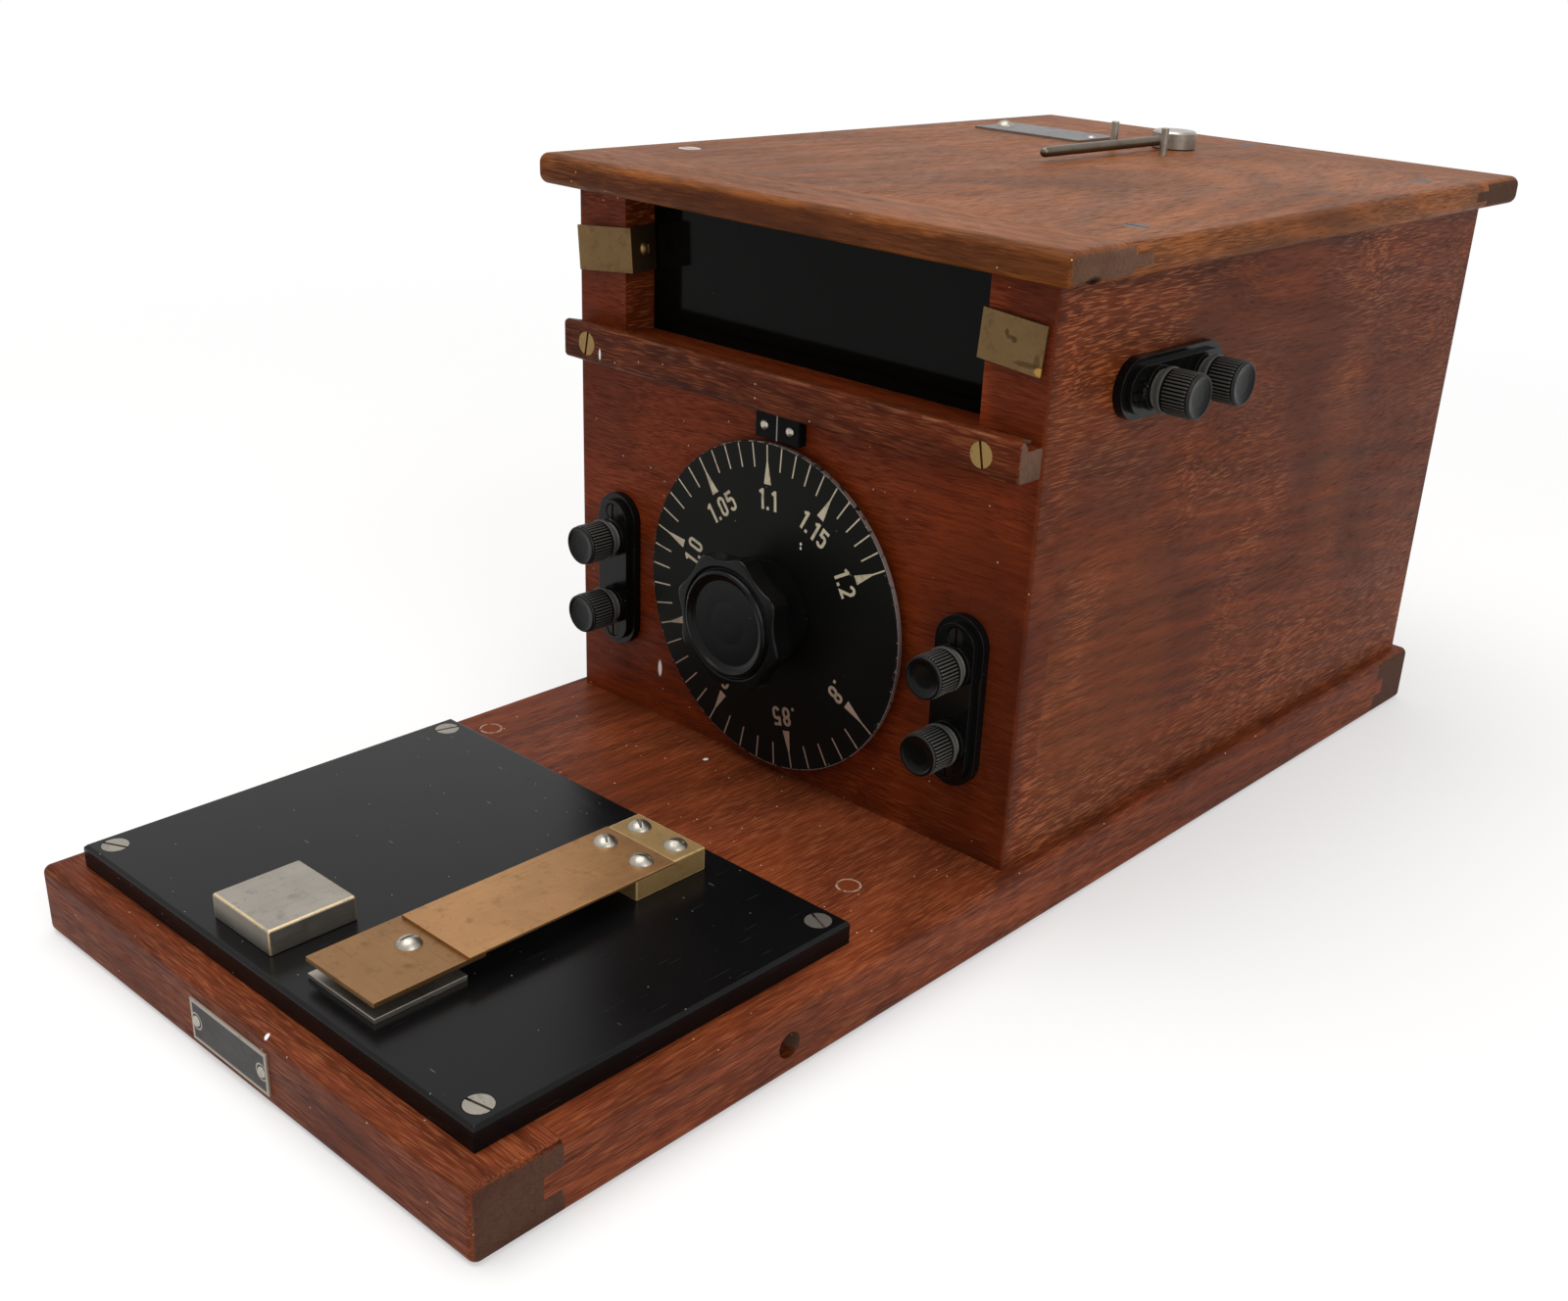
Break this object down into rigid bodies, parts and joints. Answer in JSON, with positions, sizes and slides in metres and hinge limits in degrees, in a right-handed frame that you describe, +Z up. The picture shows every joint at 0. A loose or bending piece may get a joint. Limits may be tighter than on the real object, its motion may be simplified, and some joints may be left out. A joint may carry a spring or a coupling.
{
  "type": "wheatstone bridge",
  "caption": "Vintage wheatstone bridge: lidded mahogany case on a long base, with a ratio dial, a dark window, thumb-nut terminals and a brass press key on a black panel.",
  "frame": {"origin": "centre of the flat underside of the base", "axes": "+Z up, -Y towards the user's side with the press key, +X to the right as seen from that side"},
  "size_m": [0.2232, 0.4841, 0.2204],
  "materials": {
    "mahogany": "worn oil varnish with open pores",
    "inner_wood": "bare",
    "ebonite": "worn polish with dust and scratches",
    "bakelite": "moulded, half gloss",
    "fibre": "matt black fibre",
    "dial_lacquer": "satin black lacquer with cream marks",
    "brass": "aged, brushed",
    "bronze_strip": "tarnished phosphor bronze",
    "nickel": "worn nickel plate",
    "dark_steel": "blued and rusted",
    "plate_metal": "blackened plate with a bright rim",
    "tag_metal": "dull, scuffed",
    "window_glass": "dark glass",
    "bulb_glass": "clear",
    "silvered": "front silvered",
    "copper_wire": "enamelled copper wire",
    "silk_winding": "silk-covered wire, waxed",
    "magnet_steel": "hardened magnet steel"
  },
  "bodies": {
    "case": {"base_board": "mahogany", "base_front_strip": "mahogany", "base_rear_strip": "mahogany", "base_plugs": "mahogany", "front_panel": "mahogany", "left_side": "mahogany", "right_side": "mahogany", "rear_panel": "mahogany", "corner_blocks": "inner_wood", "lid_board": "mahogany", "lid_front_strip": "mahogany", "lid_rear_strip": "mahogany", "lid_screws": "dark_steel", "ledge_strip": "mahogany", "brass_screws": "brass", "window_glass": "window_glass", "glass_battens": "inner_wood", "spring_clips": "brass", "index_block": "fibre", "escutcheon_pins": "nickel", "blank_nameplate": "plate_metal", "blank_tag": "tag_metal", "contact_panel": "ebonite", "panel_screws": "nickel", "contact_block": "nickel", "lower_contact_plate": "nickel", "key_block": "brass", "round_head_screws": "nickel", "key_strip_root": "bronze_strip", "shaft_bushing": "brass", "slide_wire": "ebonite", "stop_pins": "nickel", "galv_frame": "inner_wood", "galv_magnet": "magnet_steel", "lamp_house": "dial_lacquer", "lamp_bulb": "bulb_glass", "coil_spools": "silk_winding", "left_terminal_base": "bakelite", "right_terminal_base": "bakelite", "side_terminal_base": "bakelite", "terminal_studs": "brass", "stud_nuts": "brass", "terminal_screws": "dark_steel"},
    "dial": {"dial_disc": "dial_lacquer", "dial_knob": "bakelite", "dial_shaft": "nickel", "wiper_arm": "brass"},
    "key": {"key_strip": "bronze_strip", "key_pad": "bronze_strip", "key_contact": "nickel"},
    "lever": {"lever_hub": "nickel", "lever_rod": "nickel"},
    "coil": {"galv_coil": "copper_wire", "galv_mirror": "silvered"},
    "left_lower_nut": {"left_lower_thumb_nut": "bakelite"},
    "left_upper_nut": {"left_upper_thumb_nut": "bakelite"},
    "right_lower_nut": {"right_lower_thumb_nut": "bakelite"},
    "right_upper_nut": {"right_upper_thumb_nut": "bakelite"},
    "side_lower_nut": {"side_lower_thumb_nut": "bakelite"},
    "side_upper_nut": {"side_upper_thumb_nut": "bakelite"}
  },
  "joints": [
    {"name": "dial_turn", "type": "hinge", "parent": "case", "child": "dial", "pos_m": [-0.0005, -0.0395, 0.0807], "axis": [0, 1, 0], "range_deg": [-62, 237]},
    {"name": "key_press", "type": "hinge", "parent": "case", "child": "key", "pos_m": [0.0284, -0.1362, 0.0365], "axis": [1, 0, 0], "range_deg": [0, 1.5], "stiffness_Nm_per_rad": 5.4, "springref_deg": -0.57},
    {"name": "lever_turn", "type": "hinge", "parent": "case", "child": "lever", "pos_m": [-0.007, 0.185, 0.2106], "axis": [0, 0, 1], "range_deg": [-16, 16]},
    {"name": "coil_swing", "type": "hinge", "parent": "lever", "child": "coil", "pos_m": [-0.007, 0.185, 0.0852], "axis": [0, 0, 1], "range_deg": [-8, 8], "stiffness_Nm_per_rad": 0.00002},
    {"name": "left_lower_nut_slide", "type": "slide", "parent": "case", "child": "left_lower_nut", "axis": [0, -1, 0], "range_m": [0, 0.003]},
    {"name": "left_upper_nut_slide", "type": "slide", "parent": "case", "child": "left_upper_nut", "axis": [0, -1, 0], "range_m": [0, 0.003]},
    {"name": "right_lower_nut_slide", "type": "slide", "parent": "case", "child": "right_lower_nut", "axis": [0, -1, 0], "range_m": [0, 0.003]},
    {"name": "right_upper_nut_slide", "type": "slide", "parent": "case", "child": "right_upper_nut", "axis": [0, -1, 0], "range_m": [0, 0.003]},
    {"name": "side_lower_nut_slide", "type": "slide", "parent": "case", "child": "side_lower_nut", "axis": [1, 0, 0], "range_m": [0, 0.003]},
    {"name": "side_upper_nut_slide", "type": "slide", "parent": "case", "child": "side_upper_nut", "axis": [1, 0, 0], "range_m": [0, 0.003]}
  ]
}
